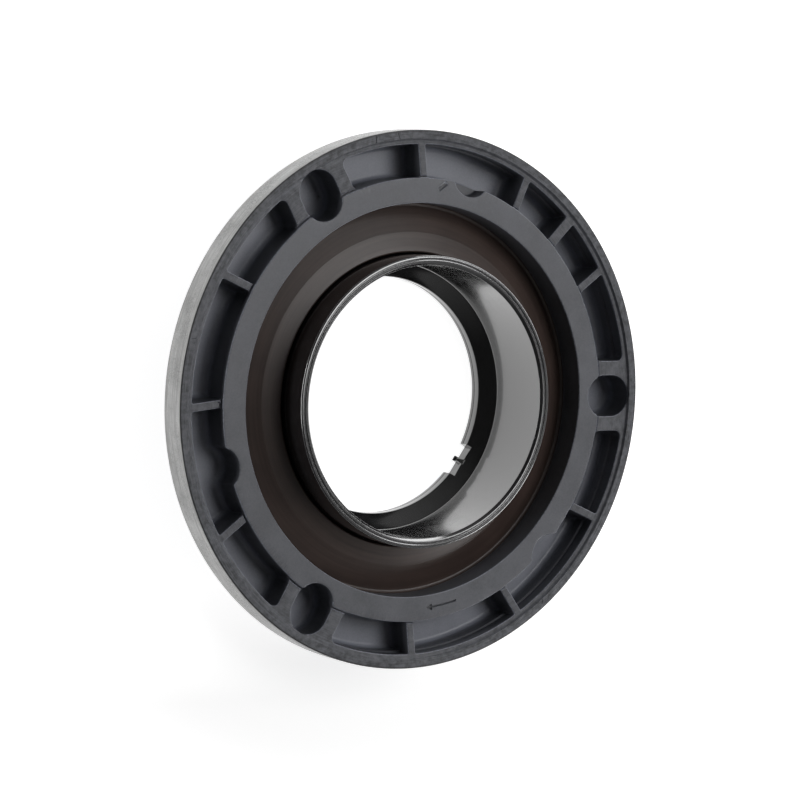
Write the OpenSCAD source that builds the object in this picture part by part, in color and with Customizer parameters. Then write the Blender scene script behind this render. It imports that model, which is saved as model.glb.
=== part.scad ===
// Radial shaft seal: a moulded carrier ring with a ribbed channel, a bonded sealing lip
// with its garter spring, and the assembly sleeve that the lip is kept on before fitting.
// The seal lies flat on the tail of its sleeve, its front face up, its axis along Z.

/* [Assembly sleeve] */
// Outside diameter, close to that of the shaft, from which the seal is built outwards
sleeve_d = 59.6; // [50:0.2:72]
// Wall thickness
sleeve_wall = 2; // [1.6:0.1:2.4]
// How far the sleeve stands out in front of the carrier
sleeve_front = 3.8; // [2:0.1:6]
// How far the tail of the sleeve stands out behind the carrier
sleeve_tail = 7.5; // [6.5:0.1:12]
// How far the collar at the tail stands inside the tube
collar_step = 3.2; // [2.4:0.1:4]
// Wall thickness of the collar
collar_wall = 1.7; // [1.4:0.1:2]
// Length of the collar
collar_l = 2.6; // [2:0.1:3.2]
// Height of the sloping shoulder between the collar and the tube
shoulder_h = 2.4; // [2:0.1:3]
// Width of the bevel inside the front rim
rim_bevel_w = 0.8; // [0.5:0.1:0.9]
// Radius of the round outer edge of the front rim
rim_round = 0.4; // [0.2:0.1:0.5]
// Length of the gate recess in the collar
gate_l = 7.2; // [5:0.2:9]
// Depth of the recess in the end of the collar
gate_depth = 0.8; // [0.4:0.1:1.2]
// Depth of the recess in the inside of the collar
gate_step = 0.7; // [0.4:0.1:0.9]
// Width of the stub that the gate left in the recess
gate_stub_w = 1.1; // [0.8:0.1:1.6]
// Angle of the gate recess
gate_angle = 325.2; // [320:0.1:335]

/* [Carrier ring] */
// Height from the back face to the front face
carrier_h = 10; // [9:0.5:14]
// Distance from the sleeve to the wall of the opening
lip_room = 10.4; // [9.4:0.1:13]
// Depth of the opening in front of the sealing lip, at its edge
opening_depth = 6.6; // [5.5:0.1:6.8]
// Width of the flat land round the opening
land_w = 5.1; // [4.4:0.1:5.6]
// Width of the channel between the land and the rim
channel_w = 6.8; // [6:0.1:9]
// Width of the outer rim at the mouth of the channel
rim_w = 2.9; // [2.4:0.1:3.6]
// Depth of the channel
channel_depth = 7.2; // [5.5:0.1:7.8]
// Radius of the round corners at the floor of the channel
channel_fillet = 1.2; // [0.6:0.1:1.6]
// Height of the lead-in chamfer at the back edge
lead_in_h = 3.7; // [2:0.1:5]
// Width of the lead-in chamfer at the back edge
lead_in_w = 2.1; // [1:0.1:2.6]
// Width of the flange that the sealing lip is moulded round
flange_w = 2.7; // [2:0.1:3.2]
// Thickness of that flange
flange_t = 1.9; // [1.4:0.1:2.2]

/* [Rim and ledge] */
// Width of the ledge inside the rim, left beside the turned rim face
ledge_w = 0.8; // [0.5:0.1:1.2]
// How far the ledge, the ribs and the bosses lie below the front face
ledge_drop = 0.4; // [0.2:0.1:0.8]
// Depth of the small step in the outer wall of the channel
wall_step_depth = 3.2; // [2.5:0.1:4]
// Width of that step
wall_step_w = 0.4; // [0.2:0.1:0.6]
// Chamfer on the front outer edge
edge_chamfer = 0.45; // [0.2:0.05:0.8]
// Chamfer on the edges of the land, the ribs and the slots
fine_chamfer = 0.2; // [0.1:0.05:0.3]

/* [Ribs and bosses] */
// Thickness of a rib at its top
rib_w = 1.6; // [1.2:0.1:2]
// Slant of the ribs from the radial direction, in degrees
rib_slant = 6.3; // [0:0.1:9]
// Thickness of the one wide rib at its top, which stands radially
wide_rib_w = 2.3; // [2:0.1:3]
// Width of a boss
boss_w = 14.8; // [13.4:0.2:16]
// Radius of the upright corners beside a boss
boss_fillet = 1.3; // [0.8:0.1:1.8]
// Radius of the fillet at the foot of a rib or boss
foot_fillet = 0.8; // [0.4:0.1:1.2]
// Draft of a rib's side, as added width from top to foot
rib_draft = 0.15; // [0:0.05:0.3]
// Width of the blind slot in a boss
slot_w = 8.7; // [7.5:0.1:10]
// How far the slot reaches into the land
slot_in_land = 2.8; // [2.5:0.1:3.2]
// How far the slot reaches into the rim
slot_in_rim = 1; // [0.8:0.1:1.2]
// Depth of the blind slot
slot_depth = 8; // [6:0.1:8.4]

/* [Notches and arrow] */
// Diameter of the half-round notches in the land
notch_d = 9; // [7:0.1:9.2]
// How far a notch reaches into the land
notch_reach = 2.3; // [1.5:0.1:3]
// Depth of the first notch
notch_depth = 3.6; // [2:0.1:5]
// How far the floors of the other two notches lie above the floor of the channel
notch_floor_step = 0.2; // [0.1:0.1:2]
// Angle of the first notch
notch_angle = 75.5; // [72:0.5:78]
// Length of the rotation arrow
arrow_l = 7.4; // [5:0.1:10]
// Width of the arrow's line
arrow_w = 0.4; // [0.3:0.05:0.6]
// Length and width of its head
arrow_head = 1.4; // [1:0.1:1.8]
// Depth of the engraved arrow
arrow_depth = 0.3; // [0.15:0.05:0.4]
// Angle of the middle of the arrow
arrow_angle = 279.3; // [276:0.1:283]

/* [Sealing lip] */
// Gap between the dust lip and the sleeve
dust_gap = 0.3; // [0.1:0.05:0.5]
// Depth of the dust lip below the front face
dust_lip_depth = 3.5; // [3:0.1:4.2]
// Width of the flatter zone next to the dust lip
dust_zone_w = 4.4; // [4:0.1:5]
// Drop of the face across that zone
dust_zone_drop = 0.9; // [0.5:0.1:1.2]
// Thickness of the dust lip at its root
dust_lip_t = 1.4; // [1:0.1:1.6]
// Thickness of the membrane between the carrier and the lips
membrane_t = 1.5; // [1.2:0.1:1.8]
// Depth of the sealing edge below the front face
seal_edge_depth = 8.9; // [8.6:0.1:9.2]
// Width of the contact band of the sealing edge on the sleeve
contact_w = 0.4; // [0.2:0.1:0.6]

/* [Garter spring] */
// Diameter across the coil
spring_d = 1.8; // [1.4:0.1:2]
// Distance from the sleeve to the middle of the coil
spring_place = 2.4; // [2.2:0.1:2.6]
// How far the coil lies in front of the sealing edge
spring_offset = 0.4; // [0.2:0.1:0.6]
// Clearance between the coil and its groove
spring_gap = 0.02; // [0.01:0.01:0.1]

/* [Hidden] */
$fn = 180;

// Twelve stations round the channel: a boss on every fourth, a rib on the others
STATIONS = 12;
BOSS_EVERY = 4;
WIDE_RIB_ANGLE = 45;
NOTCHES = 3;
OVERLAP = 0.8;
CUT = 1;

// Radii, built outwards from the sleeve
sleeve_r = sleeve_d / 2;
tube_r = sleeve_r - sleeve_wall;
collar_r = tube_r - collar_step;
opening_r = sleeve_r + lip_room;
flange_r = opening_r - flange_w;
land_r = opening_r + land_w;
wall_r = land_r + channel_w;
lower_wall_r = wall_r - wall_step_w;
outer_r = wall_r + rim_w;
slot_l = channel_w + slot_in_land + slot_in_rim;
slot_r = land_r - slot_in_land + slot_l / 2;

// Heights above the surface that the sleeve's tail stands on
back_z = sleeve_tail;
front_z = back_z + carrier_h;
sleeve_top = front_z + sleeve_front;
ledge_z = front_z - ledge_drop;
floor_z = front_z - channel_depth;

function arc(centre, radius, from, to, steps = 6) =
    [for (i = [0 : steps])
        let (a = from + (to - from) * i / steps)
        centre + radius * [cos(a), sin(a)]];

// One corner of an outline, rounded to a radius
function round_corner(before, corner, after, radius) =
    let (
        u = (before - corner) / norm(before - corner),
        v = (after - corner) / norm(after - corner),
        half = acos(u * v) / 2,
        centre = corner + (u + v) / norm(u + v) * radius / sin(half),
        first = corner + u * radius / tan(half) - centre,
        last = corner + v * radius / tan(half) - centre,
        from = atan2(first[1], first[0]),
        turn = atan2(last[1], last[0]) - from,
        sweep = turn > 180 ? turn - 360 : turn < -180 ? turn + 360 : turn
    )
    arc(centre, radius, from, from + sweep, radius < 0.5 ? 3 : 6);

// An outline given as corners of [distance from the axis, height, corner radius]
function rounded(corners) =
    let (n = len(corners), xy = [for (c = corners) [c[0], c[1]]])
    [for (i = [0 : n - 1])
        each corners[i][2] == 0 ? [xy[i]]
            : round_corner(xy[(i + n - 1) % n], xy[i], xy[(i + 1) % n], corners[i][2])];

// Half section of the carrier before the channel is cut
module carrier_outline() {
    polygon([
        [flange_r, back_z],
        [flange_r, back_z + flange_t],
        [opening_r, back_z + flange_t],
        [opening_r, front_z - fine_chamfer],
        [opening_r + fine_chamfer, front_z],
        [outer_r - edge_chamfer, front_z],
        [outer_r, front_z - edge_chamfer],
        [outer_r, back_z + lead_in_h],
        [outer_r - lead_in_w, back_z]
    ]);
}

// Half section of the channel: straight walls, a small step, round corners at the floor
module channel_outline() {
    polygon(concat(
        [[land_r - fine_chamfer, front_z],
         [land_r - fine_chamfer, front_z + CUT],
         [wall_r + ledge_w, front_z + CUT],
         [wall_r + ledge_w, ledge_z],
         [wall_r, ledge_z],
         [wall_r, front_z - wall_step_depth],
         [lower_wall_r, front_z - wall_step_depth - wall_step_w / 2]],
        arc([lower_wall_r - channel_fillet, floor_z + channel_fillet], channel_fillet, 0, -90),
        arc([land_r + channel_fillet, floor_z + channel_fillet], channel_fillet, -90, -180),
        [[land_r, front_z - fine_chamfer]]
    ));
}

// Cross-section of a rib or boss: chamfered top, drafted sides, a fillet at each foot
module rib_section(width) {
    top = ledge_z - floor_z;
    foot = width / 2 + rib_draft;
    sink = 0.05;
    right = concat(
        [[width / 2 - fine_chamfer, top], [width / 2, top - fine_chamfer]],
        arc([foot + foot_fillet, foot_fillet - sink], foot_fillet, 180, 270),
        [[foot + foot_fillet, -OVERLAP]]
    );
    left = [for (i = [len(right) - 1 : -1 : 0]) [-right[i][0], right[i][1]]];
    polygon(concat(right, left));
}

// A rib or boss across the channel, its ends sunk in the land and the rim, turned by a
// slant about the middle of the channel
module rib(width, slant = 0) {
    start = land_r * cos(asin(width / 2 / land_r)) - OVERLAP;
    middle = land_r + channel_w / 2;
    translate([middle, 0, floor_z])
        rotate([0, 0, slant])
            translate([start - middle, 0, 0])
                rotate([90, 0, 90])
                    linear_extrude(wall_r + ledge_w / 2 - start) rib_section(width);
}

// Upright round corner that fills the angle between a boss and a wall of the channel
module corner_fill(x, y, out) {
    size = boss_fillet + OVERLAP;
    translate([x, y, floor_z - OVERLAP])
        mirror([out ? 1 : 0, 0, 0])
            linear_extrude(ledge_z - floor_z + OVERLAP)
                difference() {
                    translate([-OVERLAP, -OVERLAP]) square(size);
                    translate([boss_fillet, boss_fillet]) circle(boss_fillet, $fn = 48);
                }
}

module boss() {
    half = boss_w / 2;
    inner_x = sqrt(land_r * land_r - half * half);
    outer_x = sqrt(lower_wall_r * lower_wall_r - half * half);
    rib(boss_w);
    for (side = [0, 1]) mirror([0, side, 0]) {
        corner_fill(inner_x, half, false);
        corner_fill(outer_x, half, true);
    }
}

// Blind slot with straight sides and round ends, its mouth chamfered
module slot() {
    half = (slot_l - slot_w) / 2;
    r = slot_w / 2;
    translate([slot_r, 0, front_z]) {
        for (end = [-half, half]) translate([end, 0, 0]) {
            translate([0, 0, -slot_depth]) cylinder(h = slot_depth + CUT, r = r);
            translate([0, 0, -fine_chamfer - ledge_drop])
                cylinder(h = fine_chamfer, r1 = r, r2 = r + fine_chamfer);
            translate([0, 0, -ledge_drop]) cylinder(h = ledge_drop + CUT, r = r + fine_chamfer);
        }
        translate([-half, -r, -slot_depth]) cube([2 * half, slot_w, slot_depth + CUT]);
        translate([-half, -r - fine_chamfer, -ledge_drop])
            cube([2 * half, slot_w + 2 * fine_chamfer, ledge_drop + CUT]);
    }
}

// Half-round notch in the outer edge of the land, kept clear of the channel's outer wall
module notch(depth) {
    r = notch_d / 2;
    intersection() {
        translate([land_r - notch_reach + r, 0, front_z - depth]) cylinder(h = depth + CUT, r = r);
        translate([0, 0, back_z]) cylinder(h = carrier_h + 2 * CUT, r = land_r + channel_fillet);
    }
}

// Engraved arrow that shows the shaft's turning direction, bent round the axis
module arrow() {
    mid = (opening_r + land_r) / 2;
    half = arrow_l / 2 / mid * 180 / PI;
    neck = half - arrow_head / mid * 180 / PI;
    translate([0, 0, front_z - arrow_depth])
        linear_extrude(arrow_depth + CUT)
            polygon(concat(
                arc([0, 0], mid + arrow_w / 2, half, -neck, 12),
                [(mid + arrow_head / 2) * [cos(neck), -sin(neck)]],
                [mid * [cos(half), -sin(half)]],
                [(mid - arrow_head / 2) * [cos(neck), -sin(neck)]],
                arc([0, 0], mid - arrow_w / 2, -neck, half, 12)
            ));
}

module carrier() {
    color([0.31, 0.32, 0.35])
        difference() {
            union() {
                rotate_extrude()
                    difference() {
                        carrier_outline();
                        channel_outline();
                    }
                for (i = [0 : STATIONS - 1])
                    rotate([0, 0, i * 360 / STATIONS])
                        if (i % BOSS_EVERY == 0) boss();
                        else rib(rib_w, rib_slant);
                rotate([0, 0, WIDE_RIB_ANGLE]) rib(wide_rib_w);
            }
            for (i = [0 : BOSS_EVERY : STATIONS - 1])
                rotate([0, 0, i * 360 / STATIONS]) slot();
            for (i = [0 : NOTCHES - 1])
                rotate([0, 0, notch_angle + i * 360 / NOTCHES])
                    notch(i == 0 ? notch_depth : channel_depth - notch_floor_step);
            rotate([0, 0, arrow_angle]) arrow();
        }
}

dust_r = sleeve_r + dust_gap;
dust_z = front_z - dust_lip_depth;
knee_r = sleeve_r + dust_zone_w;
knee_z = dust_z - dust_zone_drop;
bond_z = front_z - opening_depth;
seal_z = front_z - seal_edge_depth;
spring_r = sleeve_r + spring_place;
spring_z = seal_z + spring_offset;
groove_r = spring_d / 2 + spring_gap;
root_w = 1.9;

// The sealing lip's half section: the bond on the flange, the face, the dust lip, the
// sealing edge on the sleeve, the spring groove and the root
module lip_outline() {
    root_r = flange_r - root_w;
    nose_z = spring_z - groove_r - 1.15;
    valley_z = dust_z - 0.6 - dust_lip_t;
    under_z = knee_z - membrane_t;
    polygon(concat(
        rounded([
            [flange_r, back_z, 0],
            [flange_r, back_z + flange_t, 0],
            [opening_r, back_z + flange_t, 0],
            [opening_r, bond_z + 0.8, 0],
            [opening_r - 0.1, bond_z, 0.5],
            [knee_r, knee_z, 2],
            [dust_r, dust_z + 0.15, 0.35],
            [dust_r, dust_z - 0.75, 0.1],
            [sleeve_r + 1.5, valley_z, 0.3],
            [sleeve_r, seal_z + contact_w, 0],
            [sleeve_r, seal_z, 0],
            [sleeve_r + 1.4, nose_z, 0.3],
            [spring_r + 0.9, nose_z, 0.3],
            [spring_r + groove_r * cos(60), spring_z - groove_r * sin(60), 0]
        ]),
        arc([spring_r, spring_z], groove_r, -65, -295, 23),
        rounded([
            [spring_r + groove_r * cos(60), spring_z + groove_r * sin(60), 0],
            [knee_r - 0.9, under_z, 0.5],
            [root_r, under_z - 0.7, 0.7],
            [root_r, back_z + 0.4, 0],
            [root_r + 0.4, back_z, 0]
        ])
    ));
}

module sealing_lip() {
    color([0.27, 0.19, 0.16]) rotate_extrude() lip_outline();
}

// The closed coil as a plain ring of its outer shape
module garter_spring() {
    color([0.72, 0.72, 0.74])
        rotate_extrude() translate([spring_r, spring_z]) circle(d = spring_d, $fn = 48);
}

// Half section of the sleeve: the tube with its grooved rim, the sloping shoulder and
// the collar, the shoulder's outside parallel to its inside
module sleeve_outline() {
    lean = atan2(shoulder_h, tube_r - collar_r);
    shoulder_z = collar_l + shoulder_h;
    outer_z = shoulder_z + (sleeve_wall - collar_wall / sin(lean)) * tan(lean);
    collar_out_r = collar_r + collar_wall;
    ridge_r = tube_r + rim_bevel_w + 0.1;
    polygon(rounded([
        [collar_r, 0, 0.2],
        [collar_r, collar_l, 0.4],
        [tube_r, shoulder_z, 1.2],
        [tube_r, sleeve_top - rim_bevel_w, 0.1],
        [tube_r + rim_bevel_w, sleeve_top - 0.1, 0],
        [ridge_r, sleeve_top, 0],
        [ridge_r + 0.2, sleeve_top - 0.15, 0],
        [ridge_r + 0.4, sleeve_top, 0],
        [sleeve_r, sleeve_top, rim_round],
        [sleeve_r, outer_z, 0.6],
        [collar_out_r, outer_z - (sleeve_r - collar_out_r) * tan(lean), 0.4],
        [collar_out_r, 0, 0.4]
    ]));
}

// Recess round the gate in the end and the inside of the collar, with the gate's stub
// left in its middle
module gate() {
    edge = collar_r + gate_step;
    stub_z = gate_depth + 0.5;
    translate([collar_r - CUT, -gate_l / 2, -CUT]) cube([collar_wall + 2 * CUT, gate_l, gate_depth + CUT]);
    difference() {
        translate([collar_r - CUT, -gate_l / 2, 0]) cube([gate_step + CUT, gate_l, collar_l + shoulder_h]);
        translate([0, gate_stub_w / 2, 0])
            rotate([90, 0, 0])
                linear_extrude(gate_stub_w)
                    polygon([
                        [collar_r + 0.1, -CUT],
                        [edge + CUT, -CUT],
                        [edge + CUT, stub_z + gate_step + CUT],
                        [collar_r + 0.1, stub_z]
                    ]);
    }
}

module assembly_sleeve() {
    color([0.09, 0.09, 0.09])
        difference() {
            rotate_extrude() sleeve_outline();
            rotate([0, 0, gate_angle]) gate();
        }
}

carrier();
sealing_lip();
garter_spring();
assembly_sleeve();
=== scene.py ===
"""Radial shaft seal: the looks of its carrier, lip, spring and sleeve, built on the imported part."""

import math

import bmesh
import bpy
from mathutils import Matrix, Vector


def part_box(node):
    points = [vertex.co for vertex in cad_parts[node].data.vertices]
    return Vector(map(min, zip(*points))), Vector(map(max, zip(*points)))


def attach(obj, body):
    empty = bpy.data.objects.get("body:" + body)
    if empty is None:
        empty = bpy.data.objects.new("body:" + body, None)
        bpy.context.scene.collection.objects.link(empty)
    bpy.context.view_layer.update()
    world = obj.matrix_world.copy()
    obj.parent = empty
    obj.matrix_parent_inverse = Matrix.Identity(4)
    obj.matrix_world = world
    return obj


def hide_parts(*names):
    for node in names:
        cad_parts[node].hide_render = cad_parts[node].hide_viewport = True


bl_info = {
    "name": "Radial shaft seal",
    "version": (1, 0, 0),
    "blender": (4, 5, 0),
    "location": "3D view > Sidebar > Shaft seal",
    "description": "Models and finishes a radial shaft seal with its assembly sleeve",
    "category": "Add Mesh",
}

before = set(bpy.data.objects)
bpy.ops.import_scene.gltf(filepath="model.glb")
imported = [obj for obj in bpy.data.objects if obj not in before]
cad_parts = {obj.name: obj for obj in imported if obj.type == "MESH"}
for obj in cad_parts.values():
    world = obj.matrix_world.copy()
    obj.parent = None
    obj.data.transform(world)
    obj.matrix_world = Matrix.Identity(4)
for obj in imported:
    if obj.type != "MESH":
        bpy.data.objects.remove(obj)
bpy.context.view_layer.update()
MM = 0.001

# Height of the carrier's front face above the floor, in mm
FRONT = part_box("carrier")[1][2] / MM

# Places round the axis, in degrees from the first boss
BOSSES = (0, 120, 240)
RIB_PITCH = 30
WIDE_RIB = 45
BAYS = {180: 195.5, 300: 315.5}  # deep notches by the post that comes before them
NOTCH = 75.5
ARROW = 279.3
GATE = 325.2

# Sizes that two pieces share, in mm
OPENING_R = 40.2  # inner edge of the land
BONDED_R = 37.5  # inner edge of the carrier's flange
FLANGE = 1.9  # thickness of the flange
SPRING_OUT = 2.4  # middle of the spring outside the sleeve
SPRING_DOWN = 8.5  # and below the front face

MOUTH = [math.radians(turn) for turn in (0, 18, 36, 54, 72)]  # steps of a rounded top edge


# Sizes and colours


def length(name, default, description):
    return bpy.props.FloatProperty(name=name, default=default, description=description + ", mm")


def paint(name, default, description):
    return bpy.props.FloatVectorProperty(
        name=name, subtype="COLOR", size=4, default=default + (1,), description=description
    )


class CarrierSizes(bpy.types.PropertyGroup):
    """Sizes and colours of the moulded carrier, heights taken from its front face."""

    outer_r: length("Outer radius", 55.0, "Radius of the seat in the housing")
    height: length("Height", 10.0, "Front face to back face")
    land_in: length("Opening radius", OPENING_R, "Inner edge of the land")
    land_out: length("Land radius", 45.3, "Outer edge of the land")
    wall: length("Channel wall radius", 52.1, "Outer wall of the channel")
    rim: length("Rim step radius", 52.9, "Inner edge of the rim's face")
    channel: length("Channel depth", 7.2, "Depth of the channel")
    drop: length("Ledge drop", 0.4, "Ledge, ribs and bosses below the face")
    rib: length("Rib width", 1.6, "Width of a rib at its top")
    slant: bpy.props.FloatProperty(
        name="Rib slant", default=math.radians(6.3), subtype="ANGLE", description="Turn of a rib from the radius"
    )
    wide_rib: length("Wide rib width", 2.3, "Width of the wide rib")
    boss: length("Boss width", 14.8, "Width of a boss")
    soft: length("Edge radius", 0.24, "Radius of the moulded edges")
    colour: paint("Plastic", (0.066, 0.069, 0.081), "Colour of the moulded plastic")
    # The outer band's light grey is partly a painted reflection of the white floor; its streaks are turning marks
    turned: paint("Outer band", (0.46, 0.46, 0.455), "Colour of the turned outer band")


class LipSizes(bpy.types.PropertyGroup):
    """Colour of the rubber and sizes of the spring."""

    colour: paint("Rubber", (0.05, 0.034, 0.029), "Colour of the elastomer")
    wire: length("Wire", 0.36, "Diameter of the spring's wire")
    coil: length("Coil", 1.8, "Diameter across the spring's coil")


class SleeveSizes(bpy.types.PropertyGroup):
    """Sizes and colour of the assembly sleeve."""

    outer_r: length("Outer radius", 29.8, "Radius of the tube outside")
    wall: length("Wall", 2.0, "Thickness of the tube")
    collar_r: length("Collar radius", 24.6, "Radius inside the collar")
    colour: paint("Sleeve plastic", (0.012, 0.012, 0.013), "Colour of the sleeve")


class StageSizes(bpy.types.PropertyGroup):
    """Floor and light."""

    floor: paint("Floor", (0.58, 0.58, 0.58), "Colour of the floor under the light")
    key: bpy.props.FloatProperty(name="Key light", default=3.9, unit="POWER", description="Power of the key light")


# Modelling helpers


def deselect():
    if bpy.context.object and bpy.context.object.mode != "OBJECT":
        bpy.ops.object.mode_set(mode="OBJECT")
    bpy.ops.object.select_all(action="DESELECT")


def pick(piece):
    deselect()
    piece.select_set(True)
    bpy.context.view_layer.objects.active = piece


def arc(centre, radius, first, last, steps):
    """Points along an arc, angles in degrees."""
    turns = [math.radians(first + (last - first) * i / steps) for i in range(steps + 1)]
    return [Vector((centre[0] + radius * math.cos(t), centre[1] + radius * math.sin(t))) for t in turns]


def soften(corners):
    """A closed outline from corners of (distance from the axis, height, corner radius)."""
    points = []
    for i, (x, y, radius) in enumerate(corners):
        here = Vector((x, y))
        if radius == 0:
            points.append(here)
            continue
        before = Vector(corners[i - 1][:2])
        after = Vector(corners[(i + 1) % len(corners)][:2])
        u, v = (before - here).normalized(), (after - here).normalized()
        half = math.acos(max(-1, min(1, u.dot(v)))) / 2
        centre = here + (u + v).normalized() * radius / math.sin(half)
        start = here + u * radius / math.tan(half) - centre
        end = here + v * radius / math.tan(half) - centre
        first = math.degrees(math.atan2(start.y, start.x))
        sweep = (math.degrees(math.atan2(end.y, end.x)) - first + 180) % 360 - 180
        points += arc(centre, radius, first, first + sweep, max(3, min(10, round(abs(sweep) / 11))))
    return points


def divide(points, longest):
    """The outline with its long straight stretches divided, so that no face is a long sliver."""
    out = []
    for i, here in enumerate(points):
        after = points[(i + 1) % len(points)]
        count = max(1, math.ceil((after - here).length / longest))
        out += [here.lerp(after, k / count) for k in range(count)]
    return out


def turn(name, outline, steps):
    """Spins a closed half section, in mm, once round the axis."""
    deselect()
    bpy.ops.mesh.primitive_circle_add(vertices=len(outline), radius=MM, fill_type="NOTHING")
    piece = bpy.context.object
    piece.name = piece.data.name = name
    for vertex, point in zip(piece.data.vertices, outline):
        vertex.co = (point[0] * MM, 0, point[1] * MM)
    bpy.ops.object.mode_set(mode="EDIT")
    bpy.ops.mesh.select_all(action="SELECT")
    bpy.ops.mesh.spin(steps=steps, angle=math.tau, center=(0, 0, 0), axis=(0, 0, 1))
    bpy.ops.mesh.select_all(action="SELECT")
    bpy.ops.mesh.remove_doubles(threshold=1e-7)
    bpy.ops.mesh.normals_make_consistent(inside=False)
    bpy.ops.object.mode_set(mode="OBJECT")
    return piece


def raise_loops(name, loops):
    """A closed solid through loops with equally many corners, in mm, extruded one from the next."""
    deselect()
    bpy.ops.mesh.primitive_circle_add(vertices=len(loops[0]), radius=MM, fill_type="NGON")
    piece = bpy.context.object
    piece.name = piece.data.name = name
    for vertex, point in zip(piece.data.vertices, loops[0]):
        vertex.co = Vector(point) * MM
    bpy.ops.object.mode_set(mode="EDIT")
    bpy.ops.mesh.select_all(action="SELECT")
    ring = list(range(len(loops[0])))
    for loop in loops[1:]:
        bpy.ops.mesh.extrude_region_move()
        shape = bmesh.from_edit_mesh(piece.data)
        shape.verts.ensure_lookup_table()
        shape.verts.index_update()
        ring = [next(v.index for e in shape.verts[i].link_edges for v in e.verts if v.select) for i in ring]
        for i, point in zip(ring, loop):
            shape.verts[i].co = Vector(point) * MM
        bmesh.update_edit_mesh(piece.data)
    bpy.ops.mesh.select_all(action="SELECT")
    bpy.ops.mesh.normals_make_consistent(inside=False)
    bpy.ops.object.mode_set(mode="OBJECT")
    return piece


def join(pieces):
    pick(pieces[0])
    for piece in pieces[1:]:
        piece.select_set(True)
    if len(pieces) > 1:
        bpy.ops.object.join()
    return pieces[0]


def cut(piece, cutters, operation="DIFFERENCE"):
    """Cuts the joined cutters out of the piece, or with UNION welds them on."""
    cutter = join(cutters)
    pick(piece)
    bpy.ops.object.modifier_add(type="BOOLEAN")
    boolean = piece.modifiers[-1]
    boolean.operation = operation
    boolean.solver = "EXACT"
    boolean.object = cutter
    bpy.ops.object.modifier_apply(modifier=boolean.name)
    bpy.data.objects.remove(cutter)


def finish_piece(piece, node, material, angle=32):
    """Smooth shading with true flats, material, and the frame's calls."""
    pick(piece)
    bpy.ops.object.shade_smooth_by_angle(angle=math.radians(angle), keep_sharp_edges=False)
    bpy.ops.object.modifier_add(type="WEIGHTED_NORMAL")
    weighted = piece.modifiers[-1]
    weighted.keep_sharp = True
    weighted.weight = 100
    bpy.ops.object.modifier_apply(modifier=weighted.name)
    piece.data.materials.clear()
    piece.data.materials.append(material)
    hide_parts(node)
    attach(piece, "root")


# Materials


RANGE = ("Value", "From Min", "From Max", "To Min", "To Max")


def shades(colour, low, high):
    """A darker and a lighter shade of a colour."""
    return tuple([v * share for v in colour[:3]] + [1] for share in (low, high))


class Nodes:
    """A short hand for laying out a material's nodes."""

    def __init__(self, name):
        self.material = bpy.data.materials.new(name)
        self.material.use_nodes = True
        self.tree = self.material.node_tree
        self.shader = self.tree.nodes["Principled BSDF"]

    def add(self, kind, inputs=None, **settings):
        node = self.tree.nodes.new(kind)
        for key, value in settings.items():
            setattr(node, key, value)
        for key, value in (inputs or {}).items():
            self.put(node, key, value)
        return node

    def put(self, node, key, value):
        socket = node.inputs[key]
        if isinstance(value, bpy.types.NodeSocket):
            self.tree.links.new(value, socket)
        else:
            socket.default_value = value

    def math(self, operation, *values):
        node = self.add("ShaderNodeMath", operation=operation)
        for i, value in enumerate(values):
            self.put(node, i, value)
        return node.outputs[0]

    def ramp(self, value, low, high, out_low=0.0, out_high=1.0, smooth=False):
        """The value carried from low..high to out_low..out_high, and held there beyond both ends."""
        kind = "SMOOTHSTEP" if smooth else "LINEAR"
        node = self.add("ShaderNodeMapRange", clamp=True, interpolation_type=kind)
        for key, v in zip(RANGE, (value, low, high, out_low, out_high)):
            self.put(node, key, v)
        return node.outputs[0]

    def product(self, *values):
        out = values[0]
        for value in values[1:]:
            out = self.math("MULTIPLY", out, value)
        return out

    def total(self, *parts):
        """Sum of (value, weight) pairs."""
        out = None
        for value, weight in parts:
            term = self.math("MULTIPLY", value, weight)
            out = term if out is None else self.math("ADD", out, term)
        return out

    def mix(self, factor, a, b):
        node = self.add("ShaderNodeMix", data_type="RGBA")
        self.put(node, 0, factor)
        self.put(node, 6, a)
        self.put(node, 7, b)
        return node.outputs[2]

    def noise(self, vector, scale, detail=4.0, roughness=0.55):
        inputs = {"Vector": vector, "Scale": scale, "Detail": detail, "Roughness": roughness}
        return self.add("ShaderNodeTexNoise", inputs).outputs["Fac"]

    def place(self):
        """Object coordinates in mm: the point, its parts, its distance from the axis, its direction."""
        coord = self.add("ShaderNodeTexCoord").outputs["Object"]
        scaled = self.add("ShaderNodeVectorMath", {0: coord, "Scale": 1000.0}, operation="SCALE").outputs[0]
        xyz = self.add("ShaderNodeSeparateXYZ", {0: scaled})
        flat = self.add("ShaderNodeCombineXYZ", {0: xyz.outputs[0], 1: xyz.outputs[1]}).outputs[0]
        radius = self.add("ShaderNodeVectorMath", {0: flat}, operation="LENGTH").outputs["Value"]
        unit = self.add("ShaderNodeVectorMath", {0: flat}, operation="NORMALIZE").outputs[0]
        return scaled, xyz, radius, unit

    def streaks(self, unit, radius, height, fineness, length):
        """Noise drawn out round the axis, as a turning tool leaves it."""
        across = self.math("MULTIPLY", self.math("ADD", radius, height), fineness)
        return self.noise(self.stretched(unit, length, across), 1.0, 3.0, 0.6)

    def stretched(self, unit, length, across=0.0):
        way = self.add("ShaderNodeSeparateXYZ", {0: unit})
        x, y = (self.math("MULTIPLY", way.outputs[i], length) for i in (0, 1))
        return self.add("ShaderNodeCombineXYZ", {0: x, 1: y, 2: across}).outputs[0]

    def bump(self, heights):
        """Bumps one after the other: (height, strength, distance in mm)."""
        normal = None
        for height, strength, distance in heights:
            node = self.add("ShaderNodeBump", {"Height": height, "Strength": strength, "Distance": distance * MM})
            if normal:
                self.put(node, "Normal", normal)
            normal = node.outputs[0]
        self.put(self.shader, "Normal", normal)


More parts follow.
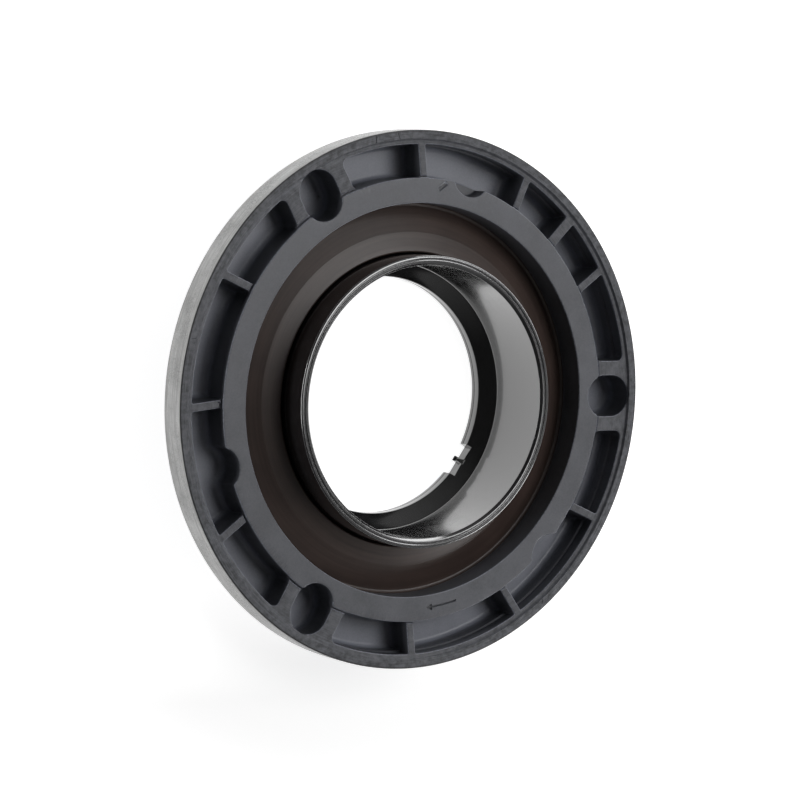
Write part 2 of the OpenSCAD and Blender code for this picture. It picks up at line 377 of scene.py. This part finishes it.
def carrier_plastic(c):
    """Dark filled plastic, moulded inside, turned on the rim's face and the outer band, with some light and shade
    painted in.
    """
    m = Nodes("moulded carrier plastic")
    scaled, xyz, radius, unit = m.place()
    height = xyz.outputs[2]
    cloud = m.noise(scaled, 0.16, 4.0, 0.6)
    grain = m.noise(scaled, 2.6, 5.0, 0.65)
    speck = m.noise(scaled, 9.0, 2.0, 0.5)
    blotch = m.noise(scaled, 0.75, 4.0, 0.7)
    fine = m.streaks(unit, radius, height, 4.2, 9.0)
    broad = m.streaks(unit, radius, height, 1.6, 3.5)

    def above(depth, fade):
        """One where the surface is higher than this depth below the front face."""
        return m.ramp(height, FRONT - depth, FRONT - depth + fade)

    def outside(edge, start, end):
        """One where the surface is further out than this edge."""
        return m.ramp(radius, edge + start, edge + end)

    def rest(mask):
        return m.math("SUBTRACT", 1.0, mask)

    on_rim = m.product(outside(c.rim, -0.1, 0.25), above(0.42, 0.27))
    off_land = outside(c.land_out, 0.1, 0.3)
    on_ledge = m.product(off_land, above(0.75, 0.25))
    land_edge = m.product(rest(off_land), m.math("SUBTRACT", above(0.3, 0.06), above(0.06, 0.05)))
    post_edge = m.product(off_land, m.math("SUBTRACT", above(0.7, 0.06), above(0.46, 0.05)))
    # Painted light: everything lower than the front face by 5.2 mm (fading in) to 6.8 mm and more, the pocket and
    # slot floors and the back of the ring, is painted lighter
    deep_painted_light = rest(above(6.8, 1.6))
    on_band = outside(c.outer_r, -0.1, -0.03)
    # Painted shade: the rounded edges just inside the outer band are painted near black
    outer_edge_shade = m.product(outside(c.outer_r, -0.42, -0.3), rest(on_band))
    # Painted shade: the engraved arrow's floor and other shallow dips in the land are painted darker
    in_arrow = m.product(
        m.ramp(height, FRONT - 0.02, FRONT - 0.08, 0.0, 1.0),
        above(0.36, 0.06),
        outside(c.land_in, 0.9, 1.1),
        rest(outside(c.land_out, -0.9, -0.7)),
    )
    from_groove = m.math("ABSOLUTE", m.math("SUBTRACT", height, FRONT - 1.6))
    groove = m.product(m.ramp(from_groove, 0.06, 0.2, 1.0, 0.0), 0.3)

    shade = m.total((cloud, 0.55), (grain, 0.45))
    worn = m.total((fine, 0.4), (blotch, 0.6))
    turning = m.total((fine, 0.35), (broad, 0.35), (cloud, 0.3))
    moulded = m.mix(m.ramp(shade, 0.38, 0.62), *shades(c.colour, 0.76, 1.22))
    # Painted light: a copy of the plastic 2.6 to 3.3 times lighter for the deep parts, standing in for light on
    # the pocket floors
    floor = m.mix(m.ramp(shade, 0.38, 0.62), *shades(c.colour, 2.6, 3.3))
    rim = m.mix(m.ramp(worn, 0.38, 0.64), *shades(c.colour, 0.34, 1.35))
    # Outer band: light grey, partly a painted reflection of the white floor, streaked by turning
    band = m.mix(m.ramp(turning, 0.41, 0.59), *shades(c.turned, 0.6, 1.3))
    band = m.mix(groove, band, shades(c.turned, 0.3, 1)[0])
    # Painted highlight: thin light lines along the top edges of the land and the posts, broken up by grain
    painted_edge_highlight = m.product(m.math("ADD", land_edge, post_edge), m.ramp(grain, 0.4, 0.6, 0.45, 0.95))
    # Shades for the painted edge highlight, the painted shade on the outer edge and the painted shade in the arrow
    light_edge, dark_edge, dark_arrow = (shades(c.colour, share, 1)[0] for share in (4.2, 0.16, 0.2))

    # painted light on the deep parts
    colour = m.mix(deep_painted_light, moulded, floor)
    colour = m.mix(m.math("MAXIMUM", on_rim, m.product(on_ledge, 0.7)), colour, rim)
    # painted highlight on the top edges
    colour = m.mix(painted_edge_highlight, colour, light_edge)
    # painted shade on the outer edge
    colour = m.mix(m.product(outer_edge_shade, 0.85), colour, dark_edge)
    colour = m.mix(on_band, colour, band)
    # painted shade in the arrow
    colour = m.mix(m.product(in_arrow, 0.75), colour, dark_arrow)
    m.put(m.shader, "Base Color", colour)

    smoothed = m.product(on_band, m.ramp(turning, 0.35, 0.65, 0.1, 0.2))
    roughened = m.product(m.math("MAXIMUM", on_rim, on_ledge), m.ramp(worn, 0.38, 0.64, 0.24, 0.0))
    rough = m.math("ADD", m.ramp(shade, 0.35, 0.65, 0.38, 0.5), roughened)
    m.put(m.shader, "Roughness", m.math("SUBTRACT", rough, smoothed))
    m.shader.inputs["IOR"].default_value = 1.55
    marked = m.math("MAXIMUM", on_rim, m.product(m.math("MAXIMUM", on_band, on_ledge), 0.5))
    marks = m.product(marked, m.total((fine, 0.6), (blotch, 0.5)))
    m.bump([(grain, 0.4, 0.05), (speck, 0.25, 0.02), (marks, 0.9, 0.12)])
    return m.material


def lip_rubber(base):
    """Dark brown moulded elastomer, satin, with a faint bloom and flow marks round the axis."""
    m = Nodes("brown elastomer")
    scaled, xyz, radius, unit = m.place()
    cloud = m.noise(scaled, 0.09, 3.0)
    grain = m.noise(scaled, 5.0, 4.0, 0.6)
    lines = m.streaks(unit, radius, xyz.outputs[2], 2.4, 1.4)
    shade = m.total((cloud, 0.5), (lines, 0.5))
    m.put(m.shader, "Base Color", m.mix(m.ramp(shade, 0.35, 0.65), *shades(base, 0.78, 1.25)))
    m.put(m.shader, "Roughness", m.ramp(grain, 0.3, 0.7, 0.3, 0.4))
    m.shader.inputs["IOR"].default_value = 1.45
    m.bump([(lines, 0.25, 0.05), (grain, 0.2, 0.02)])
    return m.material


def sleeve_plastic(base):
    """Glossy black moulded plastic with a slightly wavy surface and faint flow marks."""
    m = Nodes("glossy sleeve plastic")
    scaled, _, _, unit = m.place()
    wave = m.noise(scaled, 0.1, 2.0)
    haze = m.noise(scaled, 0.7, 4.0, 0.6)
    flow = m.noise(m.stretched(unit, 14.0), 1.0, 3.0, 0.6)
    m.put(m.shader, "Base Color", m.mix(m.ramp(haze, 0.35, 0.65), *shades(base, 0.8, 1.5)))
    m.put(m.shader, "Roughness", m.ramp(m.total((haze, 0.5), (flow, 0.5)), 0.35, 0.65, 0.13, 0.22))
    m.shader.inputs["IOR"].default_value = 1.8
    m.shader.inputs["Coat Weight"].default_value = 1.0
    m.shader.inputs["Coat Roughness"].default_value = 0.1
    m.shader.inputs["Coat IOR"].default_value = 1.7
    m.bump([(wave, 0.12, 0.5), (flow, 0.05, 0.03)])
    return m.material


def spring_steel():
    """Drawn spring wire with fine die lines and a thin film of oil."""
    m = Nodes("drawn spring wire")
    scaled = m.place()[0]
    fine = m.noise(scaled, 6.0, 4.0, 0.6)
    tone = m.noise(scaled, 0.3, 3.0)
    m.put(m.shader, "Base Color", m.mix(m.ramp(tone, 0.3, 0.7), [0.42, 0.42, 0.44, 1], [0.6, 0.6, 0.61, 1]))
    m.put(m.shader, "Roughness", m.ramp(fine, 0.3, 0.7, 0.22, 0.4))
    m.shader.inputs["Metallic"].default_value = 1.0
    m.bump([(fine, 0.3, 0.01)])
    return m.material


def floor_paint(base):
    """Pale floor, white to the camera and in reflections, dimmer in front so that the shadow stays."""
    m = Nodes("pale floor")
    scaled, xyz, radius, _ = m.place()
    tone = m.noise(scaled, 0.01, 2.0)
    m.put(m.shader, "Base Color", m.mix(m.ramp(tone, 0.3, 0.7), *shades(base, 0.99, 1)))
    m.shader.inputs["Roughness"].default_value = 0.8
    m.shader.inputs["Specular IOR Level"].default_value = 0.1
    path = m.add("ShaderNodeLightPath")
    seen = m.math("MAXIMUM", path.outputs["Is Camera Ray"], path.outputs["Is Glossy Ray"])
    seen = m.math("MAXIMUM", seen, path.outputs["Is Transmission Ray"])
    m.shader.inputs["Emission Color"].default_value = (1, 1, 1, 1)
    in_front = m.ramp(xyz.outputs[1], -62.0, -38.0, 1.0, 0.0)
    close_by = m.ramp(radius, 70.0, 110.0, 1.0, 0.0, smooth=True)
    glow = m.math("SUBTRACT", 0.93, m.product(in_front, close_by, 0.33))
    m.put(m.shader, "Emission Strength", m.product(seen, glow))
    return m.material


# Cutters for the carrier


def soft_mouth(radius):
    """Steps of a rounded top edge, as (distance out, height), before it leaves the face."""
    return [(radius * (1 - math.cos(t)), radius * (math.sin(t) - 1)) for t in MOUTH]


def post_corner(c, post, grow, side, radius, inset, inner):
    """Rounded corner between a post's side and a wall of the channel, as points from the wall to the side."""
    angle, half, corner, slant = post
    corner = max(0.03, corner - inset)
    middle = (c.land_out + c.wall) / 2
    axis = Vector((-middle * math.cos(slant), middle * math.sin(slant)))
    y = side * (half + grow + corner)
    reach = radius + corner if inner else radius - corner
    x = axis.x + math.sqrt(reach * reach - (y - axis.y) ** 2)
    out = Vector((x, y)) - axis
    first = math.degrees(math.atan2(out.y, out.x)) + (180 if inner else 0)
    sweep = (-side * 90 - first + 180) % 360 - 180
    tilt, spin = Matrix.Rotation(slant, 2), Matrix.Rotation(math.radians(angle), 2)
    return [spin @ (tilt @ p + Vector((middle, 0))) for p in arc((x, y), corner, first, first + sweep, 5)]


def bay_points(angle, land, bay_r, reach, mouth, inset):
    """The half-round notch in the land's edge as part of the pocket's outline, its mouth rounded."""
    centre_r = land - reach + bay_r
    land, bay_r, mouth = land + inset, bay_r - inset, mouth + inset
    a, b = land - mouth, bay_r + mouth
    x = (a * a - b * b + centre_r * centre_r) / (2 * centre_r)
    y = math.sqrt(a * a - x * x)
    aim = math.degrees(math.atan2(y, x))
    inward = math.degrees(math.atan2(-y, centre_r - x))
    first = [Vector((p.x, p.y)) for p in arc((x, -y), mouth, -aim, -inward, 5)]
    turned = math.degrees(math.atan2(-y, x - centre_r))
    round_ = arc((centre_r, 0), bay_r, turned % 360, 360 - turned % 360, 26)
    last = [Vector((p.x, -p.y)) for p in reversed(first)]
    spin = Matrix.Rotation(math.radians(angle), 2)
    return [spin @ p for p in first + round_[1:-1] + last]


def pocket_loop(c, posts, bay, inset, lean, step):
    """Plan outline of a pocket between two posts, drawn in by inset.

    Each point comes with a flag that says whether it is on the land's side.
    """
    a, b = posts[0][0], posts[1][0]
    land, wall = c.land_out + inset, c.wall - inset - step
    corner = lambda i, radius, inner: post_corner(c, posts[i], inset + lean, (1, -1)[i], radius, inset, inner)
    land_a, land_b = corner(0, land, True), corner(1, land, True)
    wall_a, wall_b = corner(0, wall, False), corner(1, wall, False)
    angle = lambda p: math.degrees(math.atan2(p.y, p.x))

    def along(p, q, radius, count):
        first = angle(p)
        sweep = (angle(q) - first + 180) % 360 - 180
        return arc((0, 0), radius, first, first + sweep, count)[1:-1]

    span = (b - a) % 360
    count = max(4, round(span / 0.9))
    inner = list(reversed(land_a))
    if bay is not None:
        bay_r, reach, lip_r = 4.5, 2.3, 0.7
        curve = bay_points(bay, c.land_out, bay_r, reach, lip_r, inset)
        share = ((bay - a) % 360) / span
        low = max(3, round(count * share) - 4)
        inner += along(land_a[0], curve[0], land, low) + curve
        inner += along(curve[-1], land_b[0], land, max(3, count - low - 8))
    else:
        inner += along(land_a[0], land_b[0], land, count)
    inner += land_b
    outer = list(reversed(wall_b)) + along(wall_b[0], wall_a[0], wall, count) + wall_a
    near = lambda p, q: [p.lerp(q, 0.03), p.lerp(q, 0.5)]
    loop = [(p, True) for p in inner]
    loop += [(p, False) for p in near(inner[-1], outer[0])]
    loop += [(p, False) for p in outer]
    loop += [(p, False) for p in reversed(near(inner[0], outer[-1]))]
    return loop


def pocket(name, c, posts, bay=None):
    """Cutter for one pocket: round floor corners, a small step in the outer wall, soft top edges."""
    fillet, steps, draft, ledge = 1.05, 6, 0.15, 0.4
    levels = []  # height, inset of the outline, lean of the posts' sides, step of the outer wall
    for i in range(steps + 1):
        t = math.radians(90 * i / steps)
        levels.append((-c.channel + fillet * (1 - math.cos(t)), fillet * (1 - math.sin(t)), draft, ledge))
    levels += [(-3.6, 0, draft * 0.5, ledge), (-3.45, 0, draft * 0.45, 0.36)]
    levels += [(-3.2, 0, draft * 0.45, 0.04), (-3.05, 0, draft * 0.4, 0)]
    loops = []
    for z, inset, lean, step in levels:
        loops.append([(p.x, p.y, FRONT + z) for p, land in pocket_loop(c, posts, bay, inset, lean, step)])
    for grow, rise in soft_mouth(c.soft) + [(c.soft * 1.1, c.soft * 0.08)]:
        loop = pocket_loop(c, posts, bay, -grow, 0, 0)
        loops.append([(p.x, p.y, FRONT + (0 if land else -c.drop) + rise) for p, land in loop])
    loops.append([(p.x, p.y, FRONT + 1.5) for p, land in loop])
    return raise_loops(name, loops)


def slot_cutter(name, c, angle, place=47.8, width=8.7, length=10.6, depth=8.0):
    """Cutter for a blind slot, its floor corner and its mouth rounded."""
    spin = Matrix.Rotation(math.radians(angle), 2)
    reach = (length - width) / 2

    def loop(grow, height):
        r = width / 2 + grow
        ends = arc((place + reach, 0), r, -90, 90, 40) + arc((place - reach, 0), r, 90, 270, 40)
        out = []
        for p in ends:
            off = math.hypot(p.x, p.y)
            level = -c.drop if c.land_out < off < c.rim else 0
            q = spin @ p
            out.append((q.x, q.y, FRONT + height(level)))
        return out

    loops = []
    fillet = 0.9
    for i in range(6):
        t = math.radians(90 * i / 5)
        loops.append(loop(fillet * (math.sin(t) - 1), lambda level, t=t: -depth + fillet * (1 - math.cos(t))))
    for grow, rise in soft_mouth(c.soft) + [(c.soft * 1.1, c.soft * 0.08)]:
        loops.append(loop(grow, lambda level, rise=rise: level + rise))
    loops.append(loop(c.soft * 1.1, lambda level: 1.5))
    return raise_loops(name, loops)


def notch_cutter(name, c, angle, depth):
    """Cutter for the shallow half-round notch in the land's edge."""
    spin = Matrix.Rotation(math.radians(angle), 2)
    place, radius, back, half = 47.5, 4.5, 47.2, 4.3

    def loop(grow, z):
        points = arc((place, 0), radius + grow, 100, 260, 40) + [Vector((back, -half)), Vector((back, half))]
        return [tuple(spin @ p) + (FRONT + z,) for p in points]

    loops = [loop(-0.5, -depth), loop(-0.25, -depth + 0.08), loop(-0.08, -depth + 0.25), loop(0, -depth + 0.5)]
    loops += [loop(grow, rise) for grow, rise in soft_mouth(c.soft)]
    loops += [loop(c.soft * 1.1, c.soft * 0.08), loop(c.soft * 1.1, 1.5)]
    return raise_loops(name, loops)


def arrow_cutter(name, angle, radius=42.75, length=7.4, width=0.4, head=1.4, depth=0.3):
    """Cutter for the engraved turning arrow, bent round the axis, its floor narrower than its mouth."""
    turn = lambda distance: math.degrees(distance / radius)
    tail, neck = angle + turn(length / 2), angle - turn(length / 2 - head)

    def loop(grow, z):
        w, h, end = width / 2 + grow, head / 2 + grow * 1.6, turn(grow)
        outline = arc((0, 0), radius + w, tail + end, neck, 10)
        outline += arc((0, 0), radius + h, neck, neck, 1)[:1]
        outline += arc((0, 0), radius, angle - turn(length / 2) - end, 0, 1)[:1]
        outline += arc((0, 0), radius - h, neck, neck, 1)[:1]
        outline += arc((0, 0), radius - w, neck, tail + end, 10)
        return [tuple(p) + (FRONT + z,) for p in reversed(outline)]

    return raise_loops(name, [loop(-0.12, -depth), loop(-0.02, -0.1), loop(0.05, 0.02), loop(0.05, 0.6)])


def scratch_cutter(name, first, last, width, depth):
    """Cutter for a shallow nick between two places given as (angle, radius)."""
    a, b = (Vector((r * math.cos(math.radians(t)), r * math.sin(math.radians(t)))) for t, r in (first, last))
    along = (b - a).normalized()
    across = Vector((-along.y, along.x)) * width / 2

    def loop(grow, z):
        w, e = across * grow, along * (grow - 1) * width
        return [tuple(p) + (FRONT + z,) for p in (a - e - w, b + e - w, b + e + w, a - e + w)]

    return raise_loops(name, [loop(0.2, -depth), loop(0.6, -depth * 0.7), loop(1.0, 0.01), loop(1.0, 0.5)])


def pin_mark(name, angle, place, radius, level, depth):
    """Cutter for the round mark of an ejector pin."""
    spin = Matrix.Rotation(math.radians(angle), 2)

    def loop(grow, z):
        return [tuple(spin @ p) + (FRONT - level + z,) for p in arc((place, 0), radius + grow, 0, 345, 23)]

    return raise_loops(name, [loop(-0.08, -depth), loop(0, 0.01), loop(0.02, 0.3)])


# Operators


class SEAL_OT_carrier(bpy.types.Operator):
    """Model the carrier ring with its pockets, ribs, bosses, slots, notches and arrow"""

    bl_idname = "seal.carrier"
    bl_label = "Carrier"

    def execute(self, context):
        c = context.scene.seal_carrier
        back = FRONT - c.height
        land, ledge = c.land_out + 0.08, FRONT - c.drop
        crevice = ledge - 0.45
        section = soften(
            [
                (BONDED_R, back, 0.15),
                (BONDED_R, back + FLANGE, 0.1),
                (c.land_in, back + FLANGE, 0.1),
                (c.land_in, FRONT, c.soft),
                (land, FRONT, c.soft),
                (land, crevice, 0.05),
                (land + 0.16, crevice, 0.05),
                (land + 0.42, ledge, 0.3),
                (c.rim - 0.1, ledge, 0.25),
                (c.rim + 0.3, FRONT, 0.25),
                (c.outer_r, FRONT, 0.35),
                (c.outer_r, back + 3.7, 0.5),
                (c.outer_r - 2.1, back, 0.3),
            ]
        )
        ring = turn("carrier_ring", divide(section, 1.6), 480)
        posts = [(WIDE_RIB, c.wide_rib / 2, 0.35, 0)]  # angle, half width, corner radius, slant
        for angle in range(0, 360, RIB_PITCH):
            boss = angle in BOSSES
            posts.append((angle, c.boss / 2, 1.3, 0) if boss else (angle, c.rib / 2, 0.35, c.slant))
        posts.sort()
        pairs = zip(posts, posts[1:] + posts[:1])
        cut(ring, [pocket("pocket", c, pair, BAYS.get(pair[0][0])) for pair in pairs])
        cut(ring, [slot_cutter("slot", c, angle) for angle in BOSSES])
        marks = [
            notch_cutter("notch", c, NOTCH, 3.6),
            arrow_cutter("arrow", ARROW),
            scratch_cutter("nick", (82.6, 44.8), (85.3, 43.0), 1.1, 0.32),
            scratch_cutter("line", (165.6, 53.3), (165.8, 54.5), 0.2, 0.08),
            scratch_cutter("line", (102.1, 54.7), (102.5, 53.2), 0.22, 0.1),
            scratch_cutter("line", (96.8, 54.6), (96.3, 53.1), 0.18, 0.08),
            scratch_cutter("line", (307.4, 53.1), (306.6, 54.2), 0.2, 0.08),
            pin_mark("pin", 179.8, 46.3, 0.62, c.drop, 0.36),
            pin_mark("pin", 116, 45.5, 0.25, 8.0, 0.25),
        ]
        cut(ring, marks)
        finish_piece(ring, "carrier", carrier_plastic(c))
        return {"FINISHED"}


class SEAL_OT_lip(bpy.types.Operator):
    """Model the elastomer with its membrane, dust lip, sealing edge and spring groove"""

    bl_idname = "seal.lip"
    bl_label = "Sealing lip"

    def execute(self, context):
        back = FRONT - context.scene.seal_carrier.height
        land, sleeve = OPENING_R, context.scene.seal_sleeve.outer_r
        dust, knee = sleeve + 0.3, sleeve + 4.4
        dust_z, knee_z, bond_z = FRONT - 3.5, FRONT - 4.4, FRONT - 6.6
        seal_z = FRONT - 8.9
        spring, spring_z, groove = sleeve + SPRING_OUT, FRONT - SPRING_DOWN, 0.92
        open_x, open_z = groove * math.cos(math.radians(60)), groove * math.sin(math.radians(60))
        root = BONDED_R - 1.9
        nose = spring_z - groove - 1.15
        under = knee_z - 1.5
        section = soften(
            [
                (BONDED_R, back + 0.02, 0),
                (BONDED_R, back + FLANGE, 0.1),
                (land, back + FLANGE, 0.1),
                (land, bond_z + 0.9, 0.08),
                (land - 0.12, bond_z, 0.6),
                (knee, knee_z, 2.2),
                (dust, dust_z + 0.15, 0.35),
                (dust, dust_z - 0.75, 0.12),
                (sleeve + 1.5, dust_z - 2.0, 0.3),
                (sleeve + 0.004, seal_z + 0.4, 0.05),
                (sleeve + 0.004, seal_z, 0.05),
                (sleeve + 1.4, nose, 0.35),
                (spring + 0.9, nose, 0.35),
                (spring + open_x, spring_z - open_z, 0.05),
            ]
        )
        section += arc((spring, spring_z), groove, -65, -295, 28)
        section += soften(
            [
                (spring + open_x, spring_z + open_z, 0.05),
                (knee - 0.9, under, 0.5),
                (root, under - 0.7, 0.7),
                (root, back + 0.4, 0.12),
                (root + 0.4, back + 0.02, 0.12),
            ]
        )
        lip = turn("rubber_lip", divide(section, 1.0), 400)
        finish_piece(lip, "sealing_lip", lip_rubber(context.scene.seal_lip.colour), 40)
        return {"FINISHED"}


class SEAL_OT_spring(bpy.types.Operator):
    """Wind the garter spring and close it to a ring in the lip's groove"""

    bl_idname = "seal.spring"
    bl_label = "Garter spring"

    def execute(self, context):
        lip = context.scene.seal_lip
        ring = (context.scene.seal_sleeve.outer_r + SPRING_OUT) * MM
        height = (FRONT - SPRING_DOWN) * MM
        coil = (lip.coil - lip.wire) / 2 * MM
        turns = int(math.tau * ring / (lip.wire * MM * 1.02))
        sides = 14
        deselect()
        bpy.ops.curve.primitive_nurbs_path_add()
        wire = bpy.context.object
        wire.name = wire.data.name = "spring_coil"
        spline = wire.data.splines[0]
        spline.type = "POLY"
        count = turns * sides
        spline.points.add(count - len(spline.points))
        for i, point in enumerate(spline.points):
            round_, wind = math.tau * i / count, math.tau * turns * i / count
            r = ring + coil * math.cos(wind)
            point.co = (r * math.cos(round_), r * math.sin(round_), height + coil * math.sin(wind), 1)
        spline.use_cyclic_u = True
        wire.data.bevel_depth = lip.wire * MM / 2
        wire.data.bevel_resolution = 1
        pick(wire)
        bpy.ops.object.convert(target="MESH")
        finish_piece(bpy.context.object, "garter_spring", spring_steel(), 80)
        return {"FINISHED"}


class SEAL_OT_sleeve(bpy.types.Operator):
    """Model the assembly sleeve with its grooved rim, shoulder, collar and gate recess"""

    bl_idname = "seal.sleeve"
    bl_label = "Assembly sleeve"

    def execute(self, context):
        s = context.scene.seal_sleeve
        stands_out, collar_wall, collar_l, rise = 3.8, 1.7, 2.6, 2.4
        tube, top = s.outer_r - s.wall, FRONT + stands_out
        lean = math.atan2(rise, tube - s.collar_r)
        shoulder = collar_l + rise
        outer_z = shoulder + (s.wall - collar_wall / math.sin(lean)) * math.tan(lean)
        out_r = s.collar_r + collar_wall
        ridge = tube + 0.9
        section = soften(
            [
                (s.collar_r, 0, 0.25),
                (s.collar_r, 0.95, 0.1),
                (s.collar_r + 0.1, 1.1, 0.08),
                (s.collar_r, 1.25, 0.1),
                (s.collar_r, collar_l, 0.4),
                (tube, shoulder, 0.35),
                (tube, top - 0.5, 0.2),
                (tube + 0.5, top - 0.03, 0.12),
                (ridge + 0.02, top, 0.08),
                (ridge + 0.22, top - 0.17, 0.08),
                (ridge + 0.42, top, 0.08),
                (s.outer_r, top, 0.4),
                (s.outer_r, outer_z, 0.7),
                (out_r, outer_z - (s.outer_r - out_r) * math.tan(lean), 0.5),
                (out_r, 0, 0.45),
            ]
        )
        sleeve = turn("sleeve_tube", divide(section, 1.5), 480)
        collar = s.collar_r
        cut(sleeve, [self.gate("gate", (collar - 1, collar + 2.9), 3.6, (-0.6, 0.8))])
        for side in (-1, 1):
            cut(sleeve, [self.gate("gate", (collar - 1, collar + 0.7), 1.53, (0.5, 5.2), side * 2.07)])
        ramp = ((-1, 0), (0.95, 3.15), (0.95, 3.7), (-1, 3.7))
        wedge = ((-0.4, 0.85), (0.4, 0.85), (0.4, 2.2), (-0.4, 0.98))
        cut(sleeve, [self.stub("stub", collar, ramp, 0.56)])
        cut(sleeve, [self.stub("stub", collar, wedge, 0.54)], "UNION")
        finish_piece(sleeve, "assembly_sleeve", sleeve_plastic(s.colour))
        return {"FINISHED"}

    def gate(self, name, reach, half, heights, shift=0):
        """Cutter for a recess in the collar, with narrowed edges."""
        spin = Matrix.Rotation(math.radians(GATE), 2)
        low, high = heights

        def loop(side, edge, z):
            corners = ((reach[0], -side), (edge, -side), (edge, side), (reach[0], side))
            return [tuple(spin @ Vector((x, y + shift))) + (z,) for x, y in corners]

        top = loop(half - 0.1, reach[1] - 0.1, high)
        return raise_loops(name, [loop(half, reach[1], low), loop(half, reach[1], high - 0.1), top])

    def stub(self, name, collar, side, half):
        """Prism across the recess from its side view, for the slope of the gate's broken stub."""
        spin = Matrix.Rotation(math.radians(GATE), 2)
        loop = lambda y: [tuple(spin @ Vector((collar + x, y))) + (z,) for x, z in side]
        return raise_loops(name, [loop(-half), loop(0), loop(half)])


class SEAL_OT_stage(bpy.types.Operator):
    """Set up the floor, the soft lights and the camera"""

    bl_idname = "seal.stage"
    bl_label = "Stage"

    def execute(self, context):
        s = context.scene.seal_stage
        deselect()
        bpy.ops.mesh.primitive_plane_add(size=8)
        floor = bpy.context.object
        floor.name = "floor"
        floor.data.materials.append(floor_paint(s.floor))
        self.lamp("key", (0.35, 0.22, 0.9), 0.54, s.key)
        self.lamp("edge", (0.72, 0.53, 0.2), 1.0, s.key * 0.9, 0.25)
        self.lamp("side", (0.8, -0.45, 0.4), 0.4, s.key * 0.8)
        self.lamp("low", (-0.7, 0.02, 0.06), 0.5, s.key * 0.45, 0.1)
        self.world(context)
        self.camera(context)
        context.scene.view_settings.view_transform = "Standard"
        return {"FINISHED"}

    def lamp(self, name, place, size, power, height=None):
        aim = Vector((0, 0, 0.01)) - Vector(place)
        bpy.ops.object.light_add(type="AREA", location=place, rotation=aim.to_track_quat("-Z", "Y").to_euler())
        lamp = bpy.context.object
        lamp.name = name + "_light"
        lamp.data.shape = "RECTANGLE"
        lamp.data.size = size
        lamp.data.size_y = height or size
        lamp.data.energy = power
        lamp.visible_camera = False

    def world(self, context):
        """White to the camera, and brighter from the right than from the left for all else."""
        world = bpy.data.worlds.new("studio")
        context.scene.world = world
        world.use_nodes = True
        nodes, links = world.node_tree.nodes, world.node_tree.links
        back = nodes["Background"]
        path = nodes.new("ShaderNodeLightPath")
        coord = nodes.new("ShaderNodeTexCoord")
        split = nodes.new("ShaderNodeSeparateXYZ")
        links.new(coord.outputs["Generated"], split.inputs[0])
        side = nodes.new("ShaderNodeMapRange")
        links.new(split.outputs[0], side.inputs["Value"])
        for key, value in zip(RANGE[1:], (-0.5, 0.7, 0.03, 0.31)):
            side.inputs[key].default_value = value
        mix = nodes.new("ShaderNodeMix")
        mix.data_type = "FLOAT"
        links.new(path.outputs["Is Camera Ray"], mix.inputs[0])
        links.new(side.outputs[0], mix.inputs[2])
        mix.inputs[3].default_value = 1.0
        links.new(mix.outputs[0], back.inputs["Strength"])
        back.inputs["Color"].default_value = (1, 1, 1, 1)

    def camera(self, context):
        sensor, focal, picture = 36, 3245.07, 800  # mm, pixels, pixels
        right = (0.845053, 0.025081, 0.534093)
        up = (0.021135, 0.996552, -0.080238)
        back = (-0.534265, 0.079093, 0.841609)
        axes = Matrix((right, up, back)).transposed()
        bpy.ops.object.camera_add(location=(-0.355728, 0.052281, 0.570978), rotation=axes.to_euler())
        camera = bpy.context.object
        camera.name = "camera"
        camera.data.sensor_width = sensor
        camera.data.lens = focal * sensor / picture
        camera.data.clip_end = 50
        context.scene.camera = camera


class SEAL_PT_panel(bpy.types.Panel):
    """Shaft seal tools in the sidebar"""

    bl_idname = "SEAL_PT_panel"
    bl_label = "Shaft seal"
    bl_space_type = "VIEW_3D"
    bl_region_type = "UI"
    bl_category = "Shaft seal"

    def draw(self, context):
        for operator in OPERATORS:
            self.layout.operator(operator.bl_idname)
        for name in GROUPS:
            group = getattr(context.scene, name)
            box = self.layout.box()
            for key in group.__annotations__:
                box.prop(group, key)


OPERATORS = (SEAL_OT_stage, SEAL_OT_carrier, SEAL_OT_lip, SEAL_OT_spring, SEAL_OT_sleeve)
GROUPS = {"seal_carrier": CarrierSizes, "seal_lip": LipSizes, "seal_sleeve": SleeveSizes, "seal_stage": StageSizes}


def register():
    for group in GROUPS.values():
        bpy.utils.register_class(group)
    for name, group in GROUPS.items():
        setattr(bpy.types.Scene, name, bpy.props.PointerProperty(type=group))
    for operator in OPERATORS:
        bpy.utils.register_class(operator)
    bpy.utils.register_class(SEAL_PT_panel)


def unregister():
    bpy.utils.unregister_class(SEAL_PT_panel)
    for operator in reversed(OPERATORS):
        bpy.utils.unregister_class(operator)
    for name, group in GROUPS.items():
        delattr(bpy.types.Scene, name)
        bpy.utils.unregister_class(group)


def main():
    register()
    bpy.ops.seal.stage()
    bpy.ops.seal.carrier()
    bpy.ops.seal.lip()
    bpy.ops.seal.spring()
    bpy.ops.seal.sleeve()


if __name__ == "__main__":
    main()
